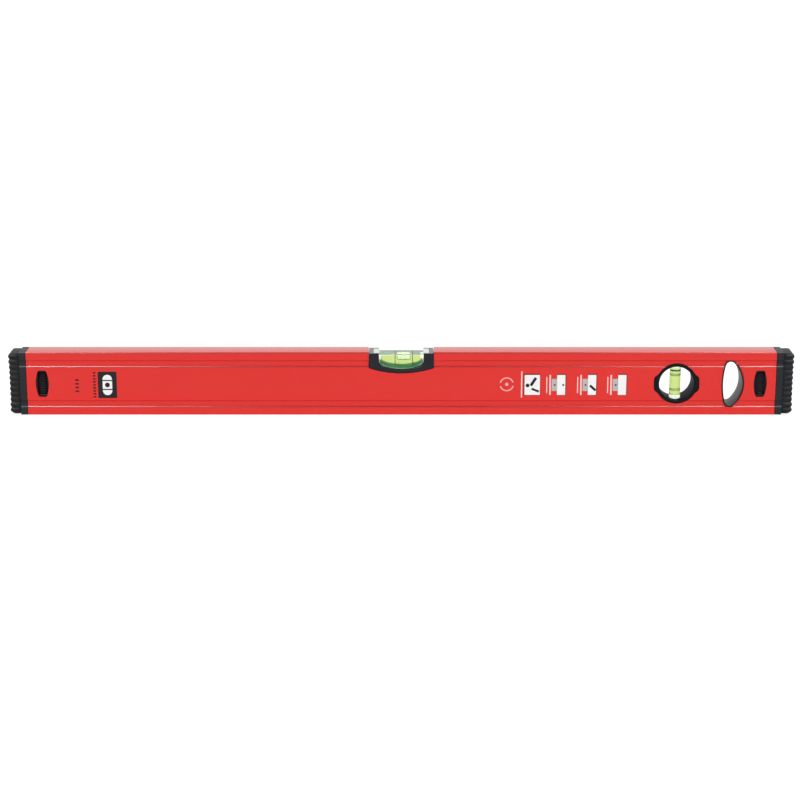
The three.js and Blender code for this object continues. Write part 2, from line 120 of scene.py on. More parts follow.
def prism(name, points):
    """A solid between two like rings of points, given one after the other."""
    count = len(points) // 2
    sides = [(i, (i + 1) % count, count + (i + 1) % count, count + i) for i in range(count)]
    return piece_from(name, points, sides + [tuple(range(count)), tuple(range(count, 2 * count))])


def bar_along_x(name, outline, x0, x1):
    """A solid bar with that (y, z) outline."""
    return prism(name, [(x, y, z) for x in (x0, x1) for y, z in outline])


def plate_through_y(name, outline, y0, y1):
    """A solid plate with that (x, z) outline."""
    return prism(name, [(x, y, z) for y in (y0, y1) for x, z in outline])


def plain(piece):
    """Works the piece's modifiers into its mesh."""
    depsgraph = bpy.context.evaluated_depsgraph_get()
    before = piece.data
    piece.data = bpy.data.meshes.new_from_object(
        piece.evaluated_get(depsgraph), preserve_all_data_layers=True, depsgraph=depsgraph
    )
    piece.data.name = piece.name
    piece.modifiers.clear()
    bpy.data.meshes.remove(before)


def combine(piece, others, operation="DIFFERENCE"):
    """Cuts the others out of the piece, or joins them to it, and uses them up."""
    for other in others:
        step = piece.modifiers.new(operation.lower(), "BOOLEAN")
        step.operation = operation
        step.object = other
        step.solver = "EXACT"
    plain(piece)
    for other in others:
        bpy.data.objects.remove(other)


def soften(piece, width, segments=2, where=None):
    """Rounds the piece's sharp edges, or those that where() picks, and shades it smoothly."""
    least_turn = math.radians(30)
    shape = bmesh.new()
    shape.from_mesh(piece.data)
    weight = shape.edges.layers.float.new("bevel_weight_edge")
    for edge in shape.edges:
        sharp = edge.calc_face_angle(0) > least_turn
        ends = [vertex.co for vertex in edge.verts]
        edge[weight] = float(sharp and (where is None or all(map(where, ends))))
    shape.to_mesh(piece.data)
    shape.free()
    rounding = piece.modifiers.new("rounding", "BEVEL")
    rounding.width = width
    rounding.segments = segments
    rounding.limit_method = "WEIGHT"
    rounding.miter_outer = "MITER_ARC"
    rounding.harden_normals = where is None
    for face in piece.data.polygons:
        face.use_smooth = True
    plain(piece)
    if where:
        piece.data.set_sharp_from_angle(angle=least_turn)


# The four kinds of cut-out, as outlines in (x, z), each drawn inset from the milled edge.
notch_half = 25.35 * MM
notch_side_depth = 12.5 * MM
notch_mid_depth = 16.7 * MM
window_x = beam_right - 77 * MM
window_radius = 16.15 * MM
ear_reach = 17.45 * MM
ear_half = 6.9 * MM
ear_firmness = 16
ear_squareness = 6
slot_x = beam_right - 35.3 * MM
slot_height = 37.6 * MM
slot_end_radius = 5.2 * MM
slot_inner_reach = 6.8 * MM
slot_outer_reach = 10.8 * MM
latch_x = beam_right - 12 * MM
latch_window_half = 3.7 * MM
latch_window_rise = 10.6 * MM
latch_window_belly = 1.4 * MM
latch_window_corner = 2.0 * MM


def notch_outline(inset, top):
    sag = notch_mid_depth - notch_side_depth
    radius = (notch_half**2 + sag**2) / (2 * sag)
    reach = notch_half - inset
    turn = math.asin(reach / (radius - inset))
    centre = (0, beam_head - notch_mid_depth + radius)
    floor = arc(centre, radius - inset, -math.pi / 2 - turn, -math.pi / 2 + turn, 32)
    return floor + [(reach, top), (-reach, top)]


def window_outline(inset, steps=216):
    """A round hole and a bar through its middle, run together with soft corners."""
    radius, reach, rise = window_radius - inset, ear_reach - inset, ear_half - inset
    outline = []
    for i in range(steps):
        turn = 2 * math.pi * i / steps
        along, up = abs(math.cos(turn)), abs(math.sin(turn))
        bar = (along / reach) ** ear_squareness + (up / rise) ** ear_squareness
        bar **= -1 / ear_squareness
        out = (radius**ear_firmness + bar**ear_firmness) ** (1 / ear_firmness)
        outline.append(
            (window_x + out * math.cos(turn), beam_middle + out * math.sin(turn))
        )
    return outline


def slot_outline(inset):
    rise = slot_height / 2 - slot_end_radius
    end = slot_end_radius - inset
    outer_extra = slot_outer_reach - slot_end_radius
    inner_extra = slot_inner_reach - slot_end_radius
    outer = slot_end_radius + (rise**2 + outer_extra**2) / (2 * outer_extra)
    inner = slot_end_radius + (rise**2 + inner_extra**2) / (2 * inner_extra)
    outer_back, inner_back = outer - slot_outer_reach, inner - slot_inner_reach
    right_turn = math.atan2(rise, outer_back)
    left_turn = math.pi - math.atan2(rise, inner_back)
    back_left, back_right = 2 * math.pi - left_turn, 2 * math.pi - right_turn
    stretches = [
        ((slot_x - outer_back, beam_middle), outer - inset, -right_turn, right_turn, 32),
        ((slot_x, beam_middle + rise), end, right_turn, left_turn, 20),
        ((slot_x + inner_back, beam_middle), inner - inset, left_turn, back_left, 20),
        ((slot_x, beam_middle - rise), end, back_left, back_right, 20),
    ]
    return [point for stretch in stretches for point in arc(*stretch)[:-1]]


def latch_window_outline(x):
    half, rise, corner = latch_window_half, latch_window_rise, latch_window_corner
    quarter = arc((half - corner, rise - corner), corner, math.pi / 2, 0, 6)
    steps = 12
    belly = []
    for i in range(1, steps):
        share = i / steps
        bulge = latch_window_belly * 4 * share * (1 - share)
        belly.append((half + bulge, (rise - corner) * (1 - 2 * share)))
    right = quarter + belly + [(u, -v) for u, v in reversed(quarter)]
    around = right + [(-u, v) for u, v in reversed(right)]
    return [(x + u, beam_middle + v) for u, v in around]


cut_reach = 2 * beam_half
cut_past = 5 * MM
beam = bar_along_x("beam_extrusion", beam_section(0), beam_left, beam_right)
hollow = bar_along_x(
    "beam_hollow", beam_section(wall), beam_left - cut_past, beam_right + cut_past
)
openings = [
    notch_outline(0, beam_head + cut_past),
    window_outline(0),
    slot_outline(0),
    latch_window_outline(latch_x),
    latch_window_outline(-latch_x),
]
cutters = [plate_through_y("cutter", outline, -cut_reach, cut_reach) for outline in openings]
combine(beam, [hollow] + cutters)
soften(beam, coat_rounding)


class Signal:
    """One output of a node, with arithmetic that adds Math nodes."""

    def __init__(self, graph, socket):
        self.graph = graph
        self.socket = socket

    def worked(self, operation, a, b):
        return self.graph.node("ShaderNodeMath", {"operation": operation}, {0: a, 1: b})

    def __add__(self, other):
        return self.worked("ADD", self, other)

    def __radd__(self, other):
        return self.worked("ADD", other, self)

    def __sub__(self, other):
        return self.worked("SUBTRACT", self, other)

    def __rsub__(self, other):
        return self.worked("SUBTRACT", other, self)

    def __mul__(self, other):
        return self.worked("MULTIPLY", self, other)

    def __rmul__(self, other):
        return self.worked("MULTIPLY", other, self)

    def __truediv__(self, other):
        return self.worked("DIVIDE", self, other)

    def __pow__(self, other):
        return self.worked("POWER", self, other)

    def __lt__(self, other):
        return self.worked("LESS_THAN", self, other)

    def __gt__(self, other):
        return self.worked("GREATER_THAN", self, other)


class Graph:
    """A node tree being wired: node() adds one node and gives one of its outputs."""

    def __init__(self, tree):
        self.tree = tree

    def node(self, kind, settings=None, values=None, output=0):
        made = self.tree.nodes.new(kind)
        for name, value in (settings or {}).items():
            setattr(made, name, value)
        for name, value in (values or {}).items():
            self.plug(made.inputs[name], value)
        return Signal(self, made.outputs[output])

    def plug(self, socket, value):
        if isinstance(value, Signal):
            self.tree.links.new(value.socket, socket)
        else:
            socket.default_value = value

    def part(self, vector, axis):
        return self.node("ShaderNodeSeparateXYZ", None, {0: vector}, "XYZ".index(axis))

    def share(self, value, start, end, easing="SMOOTHSTEP"):
        """Goes from 0 to 1 as the value goes from start to end."""
        span = {"Value": value, "From Min": start, "From Max": end}
        return self.node("ShaderNodeMapRange", {"interpolation_type": easing}, span)


class Finish(Graph):
    """A material: even values are set on the shader, varying ones are fed to it."""

    def __init__(self, name, **even):
        self.material = bpy.data.materials.new(name)
        self.material.use_nodes = True
        super().__init__(self.material.node_tree)
        self.shader = self.tree.nodes["Principled BSDF"]
        for key, value in even.items():
            self.shader.inputs[key.replace("_", " ")].default_value = value
        self.place = self.node("ShaderNodeTexCoord", output="Object")

    def grain(self, scale, detail=2.0, stretch=None):
        """Noise between 0 and 1 with features about 1 / scale metres across."""
        where = self.place
        if stretch:
            where = self.node("ShaderNodeMapping", None, {"Vector": where, "Scale": stretch})
        sizes = {"Vector": where, "Scale": scale, "Detail": detail}
        return self.node("ShaderNodeTexNoise", None, sizes, "Fac")

    def depth_share(self, start, end):
        """Goes from 0 to 1 between two distances from the level's middle plane."""
        across = self.part(self.place, "Y")
        away = self.node("ShaderNodeMath", {"operation": "ABSOLUTE"}, {0: across})
        return self.share(away, start, end, "LINEAR")

    def blend(self, share, first, second):
        """Mixes two colours by a share between 0 and 1."""
        return self.node(
            "ShaderNodeMix",
            {"data_type": "RGBA"},
            {"Factor": share, 6: first, 7: second},
            2,
        )

    def feed(self, **varying):
        for key, value in varying.items():
            self.plug(self.shader.inputs[key.replace("_", " ")], value)
        return self

    def bumps(self, height, distance, strength):
        sizes = {"Height": height, "Distance": distance, "Strength": strength}
        self.feed(Normal=self.node("ShaderNodeBump", None, sizes))
        return self


def show(piece, finish, body, slot, *nodes):
    """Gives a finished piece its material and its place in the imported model."""
    piece.data.materials.clear()
    piece.data.materials.append(finish.material)
    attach(piece, body)
    if nodes:
        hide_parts(*nodes)


# Powder coat: a full red with the faint orange peel of cured powder.
coat = Finish("red_powder_coat", IOR=1.43)
drift = coat.grain(9.0, detail=3.0)
peel = coat.grain(1400.0, detail=1.0)
speck = coat.grain(5200.0, detail=0.0)
sunk = coat.depth_share(beam_half, beam_half - channel_depth)
# Painted shade: the base colour turns a darker red on the slopes of the channels and round the
# milled edges.
painted_shade = 4 * sunk * (1 - sunk)
open_red = coat.blend(drift, (0.74, 0.009, 0.004, 1), (0.79, 0.012, 0.006, 1))
coat.feed(
    Base_Color=coat.blend(painted_shade, open_red, (0.44, 0.003, 0.002, 1)),
    Roughness=0.23 + 0.06 * drift + 0.04 * speck,
)
coat.bumps(peel + 0.25 * speck, 0.02 * MM, 0.15)
show(beam, coat, "level_body", "beam_coat", "beam")

# ---------------------------------------------------------------------------------------
# Vial cradle. A glossy black moulding pressed into the notch in the top of the beam. Its
# boat-shaped opening holds the vial block, whose two end tabs rest in shallow seats.
seat_gap = 0.3 * MM
cradle_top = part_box("centre_vial_cradle")[1][2]
boat_half = 17.45 * MM
boat_floor = beam_head - notch_mid_depth + 2.9 * MM
boat_rise = 6.5 * MM
tab_reach = 21.7 * MM
tab_half = 7.7 * MM
tab_thickness = 0.7 * MM
tab_sink = 0.12 * MM
tab_gap = 0.1 * MM


def boat_outline(inset, top):
    keel = (0, boat_floor + inset + boat_rise)
    half = boat_half - inset
    return arc(keel, (half, boat_rise), -math.pi, 0, 48) + [(half, top), (-half, top)]


def block(name, low, high):
    """A box between two corners, to be cut or softened."""
    outline = [(low[0], low[2]), (high[0], low[2]), (high[0], high[2]), (low[0], high[2])]
    return plate_through_y(name, outline, low[1], high[1])


cradle = plate_through_y(
    "centre_cradle_moulding", notch_outline(seat_gap, cradle_top), -beam_half, beam_half
)
seats = [plate_through_y("cutter", boat_outline(0, beam_head + cut_past), -cut_reach, cut_reach)]
for side in (-1, 1):
    ends = sorted((side * (boat_half - 1 * MM), side * tab_reach))
    seats.append(
        block(
            "cutter",
            (ends[0], -tab_half, cradle_top - tab_thickness - tab_sink),
            (ends[1], tab_half, beam_head),
        )
    )
combine(cradle, seats)
soften(cradle, 0.3 * MM)

gloss_black = Finish("gloss_black_moulding", IOR=1.49, Specular_IOR_Level=0.2)
smudge = gloss_black.grain(120.0, detail=4.0)
gloss_black.feed(
    Base_Color=gloss_black.blend(smudge, (0.008, 0.008, 0.012, 1), (0.014, 0.014, 0.020, 1)),
    Roughness=0.12 + 0.14 * smudge,
)
gloss_black.bumps(gloss_black.grain(700.0), 0.01 * MM, 0.2)
show(cradle, gloss_black, "level_body", "cradle_plastic", "centre_vial_cradle")

# ---------------------------------------------------------------------------------------
# Centre vial. One block of clear acrylic with a boat-shaped chamber of yellow-green liquid,
# closed by a sealed plug. It drops into the cradle; where it meets the black, its underside
# carries a painted reflection of the liquid in the black moulding, dark green and glowing faintly.
(block_left, block_front, block_foot), (block_right, block_rear, block_top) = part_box(
    "centre_vial_block"
)
chamber_left = block_left + 1.0 * MM
chamber_right = block_right - 0.9 * MM
chamber_half = 6.2 * MM
chamber_foot = block_foot + 2.0 * MM
chamber_head = block_top - 0.9 * MM

vial_block = plate_through_y(
    "centre_vial_acrylic", boat_outline(seat_gap, block_top), block_front, block_rear
)
soften(vial_block, 0.35 * MM)

clear_acrylic = Finish(
    "clear_acrylic", IOR=1.49, Transmission_Weight=1.0, Base_Color=(0.93, 0.985, 0.95, 1)
)
clear_acrylic.feed(Roughness=0.01 + 0.03 * clear_acrylic.grain(300.0))
dark_underside = Finish(
    "dark_underside", IOR=1.3, Specular_IOR_Level=0.0, Emission_Strength=1.0
)
patch = dark_underside.grain(200.0)
dark_underside.feed(
    Base_Color=dark_underside.blend(patch, (0.001, 0.040, 0.012, 1), (0.003, 0.070, 0.024, 1)),
    Roughness=0.35 + 0.1 * dark_underside.grain(900.0),
    Emission_Color=dark_underside.blend(patch, (0.001, 0.075, 0.020, 1), (0.003, 0.14, 0.04, 1)),
)
show(vial_block, clear_acrylic, "level_body", "vial_acrylic", "centre_vial_block")
vial_block.data.materials.append(dark_underside.material)
# Faces low on the block, facing the cradle, take the painted green reflection.
sideways = 0.9
for face in vial_block.data.polygons:
    low_enough = face.center.z < boat_floor + boat_rise
    if low_enough and abs(face.normal.y) < sideways:
        face.material_index = 1

for side, word in ((-1, "left"), (1, "right")):
    ends = sorted((side * (boat_half - seat_gap - 2 * tab_gap), side * (tab_reach - tab_gap)))
    tab = block(
        f"centre_vial_tab_{word}",
        (ends[0], tab_gap - tab_half, cradle_top - tab_thickness - tab_sink),
        (ends[1], tab_half - tab_gap, cradle_top - tab_sink),
    )
    soften(tab, 0.2 * MM)
    frosted = Finish(f"frosted_tab_{word}", IOR=1.49)
    mist = frosted.grain(400.0)
    frosted.feed(
        Base_Color=frosted.blend(mist, (0.66, 0.70, 0.66, 1), (0.78, 0.81, 0.78, 1)),
        Roughness=0.12 + 0.1 * frosted.grain(900.0),
    )
    show(tab, frosted, "level_body", "vial_acrylic")

# The chamber follows the boat shape of the block, a wall's thickness inside it.
chamber_rise = 5.2 * MM
chamber_middle = (chamber_left + chamber_right) / 2
chamber_reach = (chamber_right - chamber_left) / 2
hull = arc(
    (chamber_middle, chamber_foot + chamber_rise), (chamber_reach, chamber_rise), -math.pi, 0, 40
)
hull += [(chamber_right, chamber_head), (chamber_left, chamber_head)]
liquid = plate_through_y("centre_vial_fluid", hull, -chamber_half, chamber_half)
soften(liquid, 0.8 * MM, segments=4)


def tinted(name, colour, ior, clearness=1.0, painted_glow=0.0):
    """A clear filling; its index is the one relative to what surrounds it, and painted_glow makes
    it glow as painted light.
    """
    made = Finish(name, IOR=ior, Transmission_Weight=clearness, Emission_Strength=painted_glow)
    drift = made.grain(90.0)
    deeper = tuple(0.9 * share for share in colour[:3]) + (1,)
    made.feed(Base_Color=made.blend(drift, colour, deeper), Roughness=0.02 * drift)
    return made


fluid = tinted("yellow_green_fluid", (0.60, 0.72, 0.24, 1), 0.96)
show(liquid, fluid, "level_body", "vial_liquid", "centre_vial_liquid")

air_left, air_right = [corner[0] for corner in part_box("centre_vial_bubble")]


def turned(name, profile, centre, along, steps=48):
    """A piece turned on a lathe: profile is (radius, place) along X or Z from a centre."""
    points, faces, rings = [], [], []
    for radius, place in profile:
        if radius == 0:
            ring = [len(points)] * steps
            points.append((0, 0, place))
        else:
            ring = list(range(len(points), len(points) + steps))
            turns = [2 * math.pi * i / steps for i in range(steps)]
            points += [(radius * math.cos(t), radius * math.sin(t), place) for t in turns]
        rings.append(ring)
    for lower, upper in zip(rings, rings[1:]):
        for i in range(steps):
            corners = [lower[i], lower[(i + 1) % steps], upper[(i + 1) % steps], upper[i]]
            faces.append(tuple(dict.fromkeys(corners)))
    if along == "X":
        points = [(z, x, y) for x, y, z in points]
    piece = piece_from(name, [Vector(p) + Vector(centre) for p in points], faces)
    return smooth_shaded(piece)


def smooth_shaded(piece, angle=35):
    for face in piece.data.polygons:
        face.use_smooth = True
    piece.data.set_sharp_from_angle(angle=math.radians(angle))
    return piece


def rounded_bar(radius, half, shoulder, steps=8):
    """Profile of a bar with round shoulders, from its foot to its head."""
    quarter = arc((radius - shoulder, half - shoulder), shoulder, 0, math.pi / 2, steps)
    upper = quarter + [(0, half)]
    return [(r, -z) for r, z in reversed(upper)] + upper


bubble_radius = 2.2 * MM
bubble_shoulder = 2.1 * MM
bubble_half = (air_right - air_left) / 2 + 0.6 * MM
bubble = turned(
    "centre_vial_air",
    rounded_bar(bubble_radius, bubble_half, bubble_shoulder),
    ((air_left + air_right) / 2, 0, chamber_head - bubble_radius - 0.2 * MM),
    "X",
)
# The bubble glows pale blue-white: painted light that keeps it pale behind the tinted liquid.
air = tinted("air_in_fluid", (0.96, 0.99, 0.99, 1), 0.70, clearness=0.75, painted_glow=0.28)
air.feed(Emission_Color=air.blend(air.grain(60.0), (0.55, 0.62, 1.0, 1), (0.65, 0.72, 1.0, 1)))
show(bubble, air, "centre_bubble", "bubble_air", "centre_vial_bubble")


class Shaper(Graph):
    """A Geometry Nodes tree with its sizes as named inputs; it ends in plain geometry."""

    def __init__(self, name, **sizes):
        super().__init__(bpy.data.node_groups.new(name, "GeometryNodeTree"))
        kinds = {int: "Int", float: "Float", tuple: "Vector"}
        self.entry_for("Geometry", "NodeSocketGeometry")
        self.keys = {"Finish": self.entry_for("Finish", "NodeSocketMaterial")}
        for label, value in sizes.items():
            self.keys[label] = self.entry_for(label, "NodeSocket" + kinds[type(value)], value)
        self.tree.interface.new_socket(
            "Geometry", in_out="OUTPUT", socket_type="NodeSocketGeometry"
        )
        self.entry = self.tree.nodes.new("NodeGroupInput")

    def entry_for(self, label, kind, value=None):
        socket = self.tree.interface.new_socket(label, in_out="INPUT", socket_type=kind)
        if value is not None:
            socket.default_value = value
        return socket.identifier

    def size(self, label):
        return Signal(self, self.entry.outputs[label])

    def placed(self, shape):
        """Turns and moves a shape by the tree's Turn and Centre."""
        place = {"Translation": self.size("Centre"), "Rotation": self.size("Turn")}
        return self.node("GeometryNodeTransform", None, {"Geometry": shape, **place})

    def close(self, shape):
        """Ends the tree: instances made real, and the finish put on."""
        whole = self.node("GeometryNodeRealizeInstances", None, {"Geometry": shape})
        finished = self.node(
            "GeometryNodeSetMaterial", None, {"Geometry": whole, "Material": self.size("Finish")}
        )
        self.plug(self.tree.nodes.new("NodeGroupOutput").inputs["Geometry"], finished)

    def work(self, piece, finish, **sizes):
        """Runs the tree on a piece and keeps the result as its mesh."""
        step = piece.modifiers.new(self.tree.name, "NODES")
        step.node_group = self.tree
        step[self.keys["Finish"]] = finish.material
        for label, value in sizes.items():
            step[self.keys[label]] = value
        plain(piece)


# Reading rings: printed hoops, each a flat band swept round a circle.
origin = (0.0, 0.0, 0.0)
hoop = Shaper("reading_ring", Radius=1.0, Wall=1.0, Width=1.0, Centre=origin, Turn=origin)
circle = hoop.node(
    "GeometryNodeCurvePrimitiveCircle", None, {"Resolution": 64, "Radius": hoop.size("Radius")}
)
band = hoop.node(
    "GeometryNodeCurvePrimitiveQuadrilateral",
    None,
    {"Width": hoop.size("Wall"), "Height": hoop.size("Width")},
)
swept = hoop.node("GeometryNodeCurveToMesh", None, {"Curve": circle, "Profile Curve": band})
hoop.close(hoop.placed(swept))

ink = Finish("dark_green_ink", IOR=1.4)
ink.feed(
    Base_Color=ink.blend(ink.grain(500.0), (0.010, 0.045, 0.012, 1), (0.02, 0.07, 0.02, 1)),
    Roughness=0.35 + 0.1 * ink.grain(900.0),
)

ring_wall = 0.06 * MM
ring_share = 0.6


def middle_of(low, high):
    return [(a + b) / 2 for a, b in zip(low, high)]


def reading_ring(node, turn):
    """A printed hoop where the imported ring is, a share of its width and just outside it."""
    low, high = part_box(node)
    spans = [b - a for a, b in zip(low, high)]
    ring = piece_from(node.replace("ring", "hoop"), [middle_of(low, high)], [])
    hoop.work(
        ring,
        ink,
        Radius=max(spans) / 2 + ring_wall / 2,
        Wall=ring_wall,
        Width=ring_share * min(spans),
        Centre=middle_of(low, high),
        Turn=turn,
    )
    smooth_shaded(ring)
    show(ring, ink, "level_body", "ring_ink", node)


for word in ("left", "right"):
    reading_ring(f"centre_vial_ring_{word}", (0, math.pi / 2, 0))

# Each reading line is also drawn round the block's front, top and rear faces.
line_half = 0.25 * MM
line_depth = 0.04 * MM
line_foot = block_foot + 2.2 * MM
for word in ("left", "right"):
    line_x = middle_of(*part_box(f"centre_vial_ring_{word}"))[0]
    drawn = block(
        f"centre_vial_line_{word}",
        (line_x - line_half, block_front - line_depth, line_foot),
        (line_x + line_half, block_rear + line_depth, block_top + line_depth),
    )
    core = block(
        "cutter",
        (line_x - 1 * MM, block_front + line_depth, block_foot - 1 * MM),
        (line_x + 1 * MM, block_rear - line_depth, block_top - line_depth),
    )
    combine(drawn, [core])
    show(drawn, ink, "level_body", "ring_ink")

seal_low, seal_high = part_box("centre_vial_seal")
seal_radius = (seal_high[2] - seal_low[2]) / 2
seal_half = (seal_high[0] - seal_low[0]) / 2
seal = turned(
    "centre_vial_plug",
    rounded_bar(seal_radius, seal_half, 0.2 * MM, steps=3),
    middle_of(seal_low, seal_high),
    "X",
)
# The sealant glows faintly white: painted light that makes it read milky inside the acrylic.
milky_painted_glow = Finish("milky_sealant", IOR=1.02, Transmission_Weight=0.9, Emission_Strength=0.45)
smear = milky_painted_glow.grain(800.0)
milky_painted_glow.feed(
    Emission_Color=milky_painted_glow.blend(smear, (0.9, 0.95, 0.95, 1), (1, 1, 1, 1)),
    Base_Color=milky_painted_glow.blend(smear, (0.75, 0.8, 0.74, 1), (0.86, 0.9, 0.86, 1)),
    Roughness=0.4 + 0.1 * milky_painted_glow.grain(1500.0),
)
show(seal, milky_painted_glow, "level_body", "vial_acrylic", "centre_vial_seal")

# ---------------------------------------------------------------------------------------
# Plumb vial holder. Two black half shells, pushed into the round window from both sides,
# with a square ear on each side against turning and a round socket for the tube's ends.
holder_wall = 2.65 * MM
opening_radius = window_radius - holder_wall
tube_low, tube_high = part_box("plumb_vial_tube")
tube_radius = (tube_high[0] - tube_low[0]) / 2
socket_half = (tube_high[2] - tube_low[2]) / 2 + seat_gap


def moulded(name, colours, gloss, cast_scale, roughness, spread, relief, strength):
    """A hard black moulding whose colour and roughness drift a little with the cast."""
    made = Finish(name, IOR=1.49, Specular_IOR_Level=gloss)
    cast = made.grain(cast_scale, detail=3.0)
    made.feed(Base_Color=made.blend(cast, *colours), Roughness=roughness + spread * cast)
    return made.bumps(made.grain(2600.0, detail=1.0), relief, strength)


def at_side_face(spot):
    return abs(spot.y) > 0.99 * beam_half


satin_black = moulded(
    "satin_black_moulding",
    ((0.009, 0.010, 0.012, 1), (0.015, 0.017, 0.020, 1)),
    gloss=0.02,
    cast_scale=60.0,
    roughness=0.42,
    spread=0.15,
    relief=0.015 * MM,
    strength=0.4,
)
for word in ("front", "rear"):
    node = f"plumb_holder_{word}"
    low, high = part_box(node)
    shell = plate_through_y(f"plumb_shell_{word}", window_outline(seat_gap), low[1], high[1])
    through = plate_through_y(
        "cutter",
        arc((window_x, beam_middle), opening_radius, 0, 2 * math.pi, 96)[:-1],
        -cut_reach,
        cut_reach,
    )
    socket = turned(
        "cutter",
        [(0, -socket_half), (tube_radius + seat_gap, -socket_half)]
        + [(tube_radius + seat_gap, socket_half), (0, socket_half)],
        (window_x, 0, beam_middle),
        "Z",
    )
    combine(shell, [through, socket])
    soften(shell, 0.35 * MM, segments=3, where=at_side_face)
    show(shell, satin_black, "level_body", "holder_plastic", node)

# ---------------------------------------------------------------------------------------
# Plumb vial. A thick clear acrylic tube, filled with yellow-green liquid and closed at
# its foot by a sealed plug; the bubble rises to the roof of the bore.
tube_middle = (tube_low[2] + tube_high[2]) / 2
tube_half = (tube_high[2] - tube_low[2]) / 2
tube = turned(
    "plumb_vial_acrylic",
    rounded_bar(tube_radius, tube_half, 0.4 * MM, steps=4),
    (window_x, 0, tube_middle),
    "Z",
    steps=96,
)
show(tube, clear_acrylic, "level_body", "vial_acrylic", "plumb_vial_tube")

plug_low, plug_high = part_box("plumb_vial_seal")
bore_radius = 3.3 * MM
bore_roof = tube_high[2] - 1.5 * MM
fill_half = (bore_roof - plug_high[2]) / 2
fill = turned(
    "plumb_vial_fluid",
    rounded_bar(bore_radius, fill_half, 0.8 * MM, steps=6),
    (window_x, 0, plug_high[2] + fill_half),
    "Z",
    steps=96,
)
show(fill, fluid, "level_body", "vial_liquid", "plumb_vial_liquid")

air_low, air_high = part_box("plumb_vial_bubble")
plumb_air_radius = 3.12 * MM
plumb_air_half = (air_high[2] - air_low[2]) / 2
plumb_air_foot = 0.5 * MM
plumb_air_dome = 1.6 * MM
rim_start = air_low[2] + 1.3 * MM
rim_end = air_low[2] + 1.6 * MM


def domed_bar(radius, half, foot_round, head_round, steps=8):
    """Profile of a bar that is nearly flat at its foot and rounder at its head."""
    foot = arc((radius - foot_round, foot_round - half), foot_round, -math.pi / 2, 0, steps)
    head = arc((radius - head_round, half - head_round), head_round, 0, math.pi / 2, steps)
    return [(0, -half)] + foot + head + [(0, half)]


plumb_air = turned(
    "plumb_vial_air",
    domed_bar(plumb_air_radius, plumb_air_half, plumb_air_foot, plumb_air_dome),
    (window_x, 0, (air_low[2] + air_high[2]) / 2),
    "Z",
)
# The bubble's foot is painted dark green, a painted shade of its meniscus edge; above it the
# bubble glows blue-white, painted light that keeps it pale in the liquid.
plumb_air_finish = Finish(
    "air_over_fluid", IOR=0.70, Transmission_Weight=0.6, Emission_Strength=0.75
)
up = plumb_air_finish.part(plumb_air_finish.place, "Z")
painted_light_above_rim = plumb_air_finish.share(up, rim_start, rim_end)
plumb_air_finish.feed(
    Base_Color=plumb_air_finish.blend(painted_light_above_rim, (0.01, 0.06, 0.02, 1), (0.96, 0.99, 0.99, 1)),
    Emission_Color=plumb_air_finish.blend(painted_light_above_rim, (0, 0.01, 0, 1), (0.8, 0.85, 1.0, 1)),
    Roughness=0.02 * plumb_air_finish.grain(90.0),
)
show(plumb_air, plumb_air_finish, "plumb_bubble", "bubble_air", "plumb_vial_bubble")

for word in ("lower", "upper"):
    reading_ring(f"plumb_vial_ring_{word}", (0, 0, 0))

plug_half = (plug_high[2] - plug_low[2]) / 2
plug = turned(
    "plumb_vial_plug",
    rounded_bar((plug_high[0] - plug_low[0]) / 2, plug_half - 0.1 * MM, 0.3 * MM, steps=3),
    (window_x, 0, plug_low[2] + plug_half),
    "Z",
)
show(plug, milky_painted_glow, "level_body", "vial_acrylic", "plumb_vial_seal")

# ---------------------------------------------------------------------------------------
# Hang slot liner. Two thin grey half shells that line the slot, so that a hook or a nail
# doesn't chip the coating.
liner_wall = 1.0 * MM
grey_moulding = Finish("grey_moulding", IOR=1.49, Specular_IOR_Level=0.25)
cast = grey_moulding.grain(70.0, detail=3.0)
# Painted shade: a near-black red line where the liner meets each side face.
painted_shade_at_rim = grey_moulding.depth_share(beam_half - 0.9 * MM, beam_half - 0.4 * MM)
inner_grey = grey_moulding.blend(cast, (0.045, 0.045, 0.044, 1), (0.062, 0.062, 0.060, 1))
grey_moulding.feed(
    Base_Color=grey_moulding.blend(painted_shade_at_rim, inner_grey, (0.012, 0.006, 0.006, 1)),
    Roughness=0.38 + 0.15 * cast,
)
grey_moulding.bumps(grey_moulding.grain(2600.0, detail=1.0), 0.015 * MM, 0.4)

for word in ("front", "rear"):
    node = f"hang_slot_liner_{word}"
    low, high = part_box(node)
    lining = plate_through_y(f"slot_lining_{word}", slot_outline(seat_gap), low[1], high[1])
    hole = plate_through_y("cutter", slot_outline(seat_gap + liner_wall), -cut_reach, cut_reach)
    combine(lining, [hole])
    soften(lining, 0.25 * MM, segments=3, where=at_side_face)
    show(lining, grey_moulding, "level_body", "liner_plastic", node)

# ---------------------------------------------------------------------------------------
# End plugs. A rigid black moulding that slides into each end of the beam: a flange that
# carries on the beam's section, a tongue with a pocket for each latch, and a stub.
slide_gap = 0.3 * MM
flange_end = beam_right + 5.5 * MM
tongue_end = beam_right - 22 * MM
stub_wall = 3.2 * MM
stub_corner = 1 * MM
overlap = 1 * MM
stub_end = flange_end + 4.5 * MM
latch_low, latch_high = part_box("right_front_latch")
latch_half = (latch_high[0] - latch_low[0]) / 2
latch_rise = 8.65 * MM
latch_depth = latch_high[1] - latch_low[1]
shoulder_depth = 1.5 * MM
shoulder_reach = 1.4 * MM
web_half = 0.6 * MM


def mirrored(piece, name, across=(-1, 1, 1)):
    """A mirror image of a finished piece, with its faces turned outwards again."""
    twin = bpy.data.objects.new(name, piece.data.copy())
    bpy.context.scene.collection.objects.link(twin)
    twin.data.transform(Matrix.Diagonal((*across, 1)))
    if across[0] * across[1] * across[2] < 0:
        twin.data.flip_normals()
    return twin


